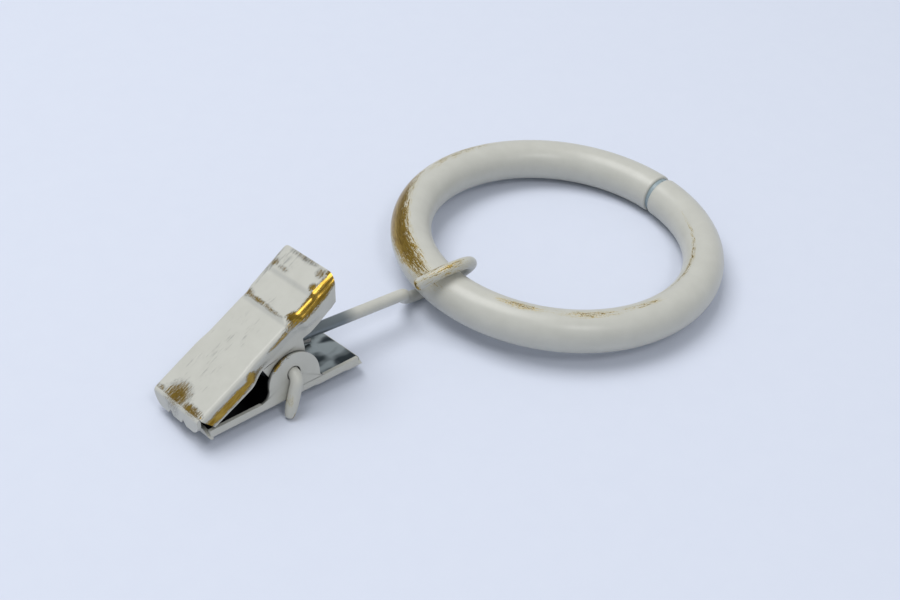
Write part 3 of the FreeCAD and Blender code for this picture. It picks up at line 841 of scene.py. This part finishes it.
upper_tilt = np.radians(27.1)
plate_height = 6.57
upper_nose = 13.6
upper_tail = 12.45
step_rise = 0.4
nose_overhang = 0.2
waist_inset = 0.05
tail_overhang = 0.65
tail_drift = 0.35
flare_start = 5.4
nose_bend = 0.65
tail_bend = 1.5
ear_gap = 0.12
upper_ear_radius = 2.7
upper_hole_clearance = 0.06
ear_front = 2.8
ear_back = 4.0
flange_knee_drop = 2.3
ear_knee_drop = 2.5
flare_knee_drop = 2.95
nose_flange_front = 2.55
nose_flange_back = 2.7
tail_flange_front = 4.5
tail_flange_back = 3.1
nose_flange_rake = 0.34
tail_flange_slope = 0.6
tail_round = 1.3
tail_corner = 1.8
crest_half = 3.6
upper_lip = 2.3
upper_lip_inset = 0.25
upper_lip_corner = (1.7, 1.9)
upper_lip_rub = 0.6

flange_knee = plate_height - flange_knee_drop
ear_knee = plate_height - ear_knee_drop
flare_knee = plate_height - flare_knee_drop
nose_half = lower_half_width + nose_overhang
waist_half = lower_half_width - waist_inset
tail_half = lower_half_width + tail_overhang
ear_half = lower_half_width - sheet - ear_gap
land = plate_height + step_rise
thumb = land + step_rise
front_foot = plate_height - nose_flange_front
waist_foot = plate_height - nose_flange_back
land_foot = land - tail_flange_front
end_foot = thumb - tail_flange_back
flange_rise = (end_foot - land_foot) / (upper_tail - ear_back)
flange_flare = (tail_half - ear_half) / (upper_tail - ear_back)
upper_turn = np.pi / 2 - upper_tilt
lip_set_back = lip_bend * np.tan(upper_turn / 2)
nose_web = (nose_half, nose_bend, flange_knee, nose_half)
ear_web = (ear_knee, ear_half)
tail_web = (tail_half, tail_bend, flange_knee, tail_half)
flared = [(along, top, tail_half, tail_bend, flare_knee, ear_half + flange_flare * (along - ear_back),
           land_foot + flange_rise * (along - ear_back), 0.0)
          for along, top in ((flare_start, land), (second_step, (land + thumb) / 2))]

# Each section: its place along the jaw, its top, half width, bend, knee, half width at the knee,
# and the foot and rake of its flange.
upper_stations = (
    (lip_set_back - upper_nose, plate_height, *nose_web, front_foot, nose_flange_rake),
    (-2 * ear_front, plate_height, *nose_web, waist_foot, 0.0),
    (-ear_front, plate_height, waist_half, nose_bend, *ear_web, waist_foot, 0.0),
    (first_step - step_run, plate_height, waist_half, nose_bend, *ear_web, land_foot, 0.0),
    (first_step, land, waist_half, tail_bend, *ear_web, land_foot, 0.0),
    (ear_back, land, waist_half, tail_bend, *ear_web, land_foot, 0.0),
    *flared,
    (upper_tail, thumb, *tail_web, end_foot, 0.0),
)
upper_crest = (
    (-upper_nose, plate_height), (first_step - step_run, plate_height), (first_step, land),
    (second_step - step_run, land), (second_step, thumb), (upper_tail, thumb))
upper_end = (tail_round, tail_corner, tail_flange_slope, upper_crest, crest_half)
upper_outer = channel_surface(0.0, upper_stations, *upper_end)
upper_inner = channel_surface(sheet, upper_stations, *upper_end)

# Behind the ears the plate is pressed over to the near side.
for surface in (upper_outer, upper_inner):
    surface[..., 1] -= eased(surface[..., 0], (ear_back, flare_start), (0.0, tail_drift))
upper_body, upper_body_faces = closed_sheet(upper_outer, upper_inner)

# Worn spots on the blank, by the distance along from the pin and out from the middle line;
# the near side is negative. First the thumb plate, then its two steps, its edges and the nose.
nose_spots = (
    (-12.6, 1.0, 2.4, 2.6, 0.80),
    (-12.9, -3.0, 0.9, 2.7, 0.80),
    (-12.9, 4.4, 0.6, 1.4, 0.50),
)
upper_spots = (
    (8.7, -5.65, 4.7, 0.85, 1.70),
    (4.8, -5.1, 0.9, 0.9, 1.20),
    (12.2, -5.4, 0.6, 1.2, 1.20),
    (9.4, -4.3, 0.7, 0.7, 0.85),
    (11.5, -3.7, 0.9, 1.1, 0.58),
    (4.2, 4.5, 0.75, 1.2, 0.66),
    (4.0, 2.2, 0.45, 4.5, 0.57),
    (3.85, -1.6, 0.36, 3.0, 0.55),
    (9.5, 4.6, 0.90, 1.3, 0.54),
    (9.3, 2.4, 0.60, 1.6, 0.46),
    (12.2, 0.5, 0.7, 5.0, 0.38),
    (9.5, 5.4, 3.2, 0.8, 0.40),
    (1.6, -5.9, 2.6, 0.40, 0.75),
    (-4.6, -6.8, 0.9, 0.9, 1.20),
    (-9.3, -7.1, 6.0, 0.62, 1.50),
    *nose_spots,
)
upper_scuffs = (
    (-4.0, 0.5, 14.0, 5.0, 1.10),
    (12.1, 0.5, 0.7, 5.0, 2.40),
    (10.8, 3.0, 1.4, 2.6, 1.90),
    (8.6, 5.0, 4.5, 0.9, 2.20),
)
upper_parts = [(upper_body, upper_body_faces, channel_fields(upper_outer, upper_spots, upper_scuffs))]

lip_form = (-upper_nose, plate_height, upper_turn, upper_lip, lower_half_width - upper_lip_inset,
            *upper_lip_corner)
lip_points, lip_faces, lip_bare = lip_shell(lip_form)
lip_rub = upper_lip_rub * (1 - lip_bare) * rubbed_by(lip_points[:, 0], lip_points[:, 1], nose_spots)
upper_parts.append((lip_points, lip_faces, shell_fields(lip_points, lip_rub, lip_bare)))


def tangent(x, z, radius, side):
    """Angle on a circle about the pin where the line from an outside point touches it, in degrees."""
    return np.degrees(np.arctan2(z, x) + side * np.arccos(radius / np.hypot(x, z)))


upper_ear = np.concatenate([
    [[-ear_front, waist_foot]],
    outline_arc(0.0, 0.0, upper_ear_radius, tangent(-ear_front, waist_foot, upper_ear_radius, 1),
                tangent(ear_back, land_foot, upper_ear_radius, -1) + 360.0, 72),
    np.stack([np.linspace(ear_back, first_step - step_run, 8), np.full(8, land_foot)], axis=1),
    np.stack([np.linspace(first_step - step_run, -ear_front, 30)[1:-1],
              np.linspace(land_foot, waist_foot, 30)[1:-1]], axis=1),
])
for side in (-1, 1):
    ear_points, ear_faces, ear_bare = ear_shell(upper_ear, wire / 2 + upper_hole_clearance, ear_half, side)
    ear_fields = shell_fields(ear_points[:, [0, 2, 1]], np.zeros(len(ear_points)), ear_bare)
    upper_parts.append((ear_points, ear_faces, ear_fields))

upper_points, upper_faces, upper_fields = assembled(upper_parts)
upper_along, upper_across, upper_above = upper_points.T
tilted = np.stack([upper_along * np.cos(upper_tilt) - upper_above * np.sin(upper_tilt), upper_across,
                   upper_along * np.sin(upper_tilt) + upper_above * np.cos(upper_tilt)], axis=1)
upper_jaw = new_piece("upper_jaw_sheet", on_clip(tilted), upper_faces, sheet_paint, **upper_fields)
ease_edges(upper_jaw)
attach(upper_jaw, "upper")
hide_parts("upper_jaw")


# Torsion spring
# A coil of bare spring wire round the pin, out of sight between the ears. One arm lies along the
# inside of each thumb plate and holds the nose shut.

spring_wire = 0.7
coil_clearance = 0.2
coil_turns = 2
coil_play = 0.06
coil_start = 3.2
arm_contact = 0.05
upper_arm_reach = 6.0
lower_arm_reach = 8.5
spring_cut_round = 0.1
spring_step = 0.15
spring_columns = 16
spring_bright = (0.420, 0.420, 0.410, 1.0)
spring_dull = (0.230, 0.220, 0.210, 1.0)
spring_streaks = ((0.4, 6.0, 6.0), 1.0, 4.0)
spring_roughness = (0.25, 0.45)

coil_radius = wire / 2 + coil_clearance + spring_wire / 2
arm_under = plate_height + step_rise - sheet - spring_wire / 2 - arm_contact
upper_arm_end = np.array([upper_arm_reach * np.cos(upper_tilt) - arm_under * np.sin(upper_tilt),
                          upper_arm_reach * np.sin(upper_tilt) + arm_under * np.cos(upper_tilt)])
lower_arm_end = np.array([lower_arm_reach,
                          -(pin_height + lower_step_rise - sheet - spring_wire / 2 - arm_contact)])


def arm_heading(end, side):
    """Heading and length of an arm that touches the coil's circle and reaches a point."""
    distance = np.hypot(*end)
    heading = np.arctan2(end[1], end[0]) - side * np.arcsin(coil_radius / distance)
    return heading, np.sqrt(distance ** 2 - coil_radius ** 2)


upper_heading, upper_length = arm_heading(upper_arm_end, 1)
lower_heading, lower_length = arm_heading(lower_arm_end, -1)
coil_angle = np.linspace(lower_heading - np.pi / 2,
                         upper_heading + np.pi / 2 - 2 * np.pi * (coil_turns + 1), 240)
coil_rise = (spring_wire + coil_play) * (coil_angle[0] - coil_angle) / (2 * np.pi)
coil = np.stack([coil_radius * np.cos(coil_angle), coil_start - coil_rise,
                 coil_radius * np.sin(coil_angle)], axis=1)
lower_tip = coil[0] + lower_length * np.array([np.cos(lower_heading), 0.0, np.sin(lower_heading)])
upper_tip = coil[-1] + upper_length * np.array([np.cos(upper_heading), 0.0, np.sin(upper_heading)])
spring_path = on_clip(np.concatenate([
    lower_tip[None], straight_run(lower_tip, coil[0], 40), coil,
    straight_run(coil[-1], upper_tip, 40), upper_tip[None]]))
spring_length = path_length(spring_path)
spring_place, spring_size = wire_stations(
    spring_length, spring_wire / 2, spring_cut_round, spring_cut_round, spring_step)
spring_points, spring_straight, spring_faces = swept(
    spring_path, spring_place, spring_size, clip_across, spring_columns)

spring_steel = bpy.data.materials.new("Spring steel")
spring_steel.use_nodes = True
spring_tree = spring_steel.node_tree
drawn = noise(spring_tree, field(spring_tree, "place", "Vector"), *spring_streaks)
set_inputs(spring_tree, spring_tree.nodes["Principled BSDF"], {
    "Base Color": mixed(spring_tree, drawn, spring_bright, spring_dull),
    "Roughness": mixed_value(spring_tree, drawn, *spring_roughness), "Metallic": 1.0})
spring = new_piece("torsion_spring_wire", spring_points, spring_faces, spring_steel, place=spring_straight)
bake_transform(spring)
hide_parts("torsion_spring")


# Table, light and camera
# A plain pale bluish table under soft light from a wide lamp behind and a weaker one in front, seen
# from the clip's nose over its near side.

table_half = 1.2
table_pale = (0.660, 0.700, 0.800, 1.0)
table_dull = (0.640, 0.680, 0.785, 1.0)
table_mottle = ((300.0, 300.0, 300.0), 1.0, 4.0)
sky_color = (0.930, 0.960, 1.0, 1.0)
sky_strength = 0.49
key_place = np.array([-0.16, 0.24, 0.76])
key_size = 0.55
key_power = 4.2
fill_place = np.array([-0.10, -0.44, 0.64])
fill_size = 0.2
fill_power = 0.85

table_paint = bpy.data.materials.new("Table")
table_paint.use_nodes = True
table_tree = table_paint.node_tree
table_place = add_node(table_tree, "ShaderNodeTexCoord", {}).outputs["Object"]
mottled = noise(table_tree, table_place, *table_mottle)
set_inputs(table_tree, table_tree.nodes["Principled BSDF"], {
    "Base Color": mixed(table_tree, mottled, table_pale, table_dull),
    "Roughness": 0.9, "Specular IOR Level": 0.1})
corner = np.linspace(-table_half, table_half, 2)
table_points = np.stack(np.broadcast_arrays(corner[None, :], corner[:, None], table_height * MM), axis=-1)
table_mesh = bpy.data.meshes.new("Table")
table_mesh.from_pydata(table_points.reshape(-1, 3).tolist(), [], grid_faces(2, 2, False).tolist())
table_mesh.materials.append(table_paint)
table_top = bpy.data.objects.new("table", table_mesh)
bpy.context.scene.collection.objects.link(table_top)

sky = bpy.data.worlds.new("Sky")
sky.use_nodes = True
set_inputs(sky.node_tree, sky.node_tree.nodes["Background"], {"Color": sky_color, "Strength": sky_strength})
bpy.context.scene.world = sky


def facing(place, right, back):
    """Placement of a lamp or camera at a place, from its right and backward directions."""
    turn = np.stack([right, np.cross(back, right), back], axis=1)
    return Matrix(np.block([[turn, place[:, None]], [np.zeros((1, 3)), np.ones((1, 1))]]).tolist())


def add_lamp(name, place, size, power):
    """Square lamp at a place in metres, turned to the middle of the ring."""
    light = bpy.data.lights.new(name, "AREA")
    light.size = size
    light.energy = power
    lamp = bpy.data.objects.new(name, light)
    back = place / np.linalg.norm(place)
    right = np.cross([0.0, 0.0, 1.0], back)
    lamp.matrix_world = facing(place, right / np.linalg.norm(right), back)
    bpy.context.scene.collection.objects.link(lamp)


add_lamp("Key", key_place, key_size, key_power)
add_lamp("Fill", fill_place, fill_size, fill_power)

view_turn = np.radians(42.6)
view_height = np.radians(39.34)
view_roll = np.radians(4.17)
view_distance = 234.2
view_aim = np.array([-18.91, 2.2, table_height])
view_back = np.array([-np.cos(view_height) * np.sin(view_turn), -np.cos(view_height) * np.cos(view_turn),
                      np.sin(view_height)])
level_right = np.array([np.cos(view_turn), -np.sin(view_turn), 0.0])
view_right = level_right * np.cos(view_roll) + np.cross(view_back, level_right) * np.sin(view_roll)
camera_data = bpy.data.cameras.new("Camera")
camera_data.lens = 64.0
camera_data.sensor_width = 36.0
camera_data.clip_start = 0.01
camera = bpy.data.objects.new("Camera", camera_data)
camera.matrix_world = facing((view_aim + view_distance * view_back) * MM, view_right, view_back)
bpy.context.scene.collection.objects.link(camera)
bpy.context.scene.camera = camera
bpy.context.scene.view_settings.view_transform = "Standard"
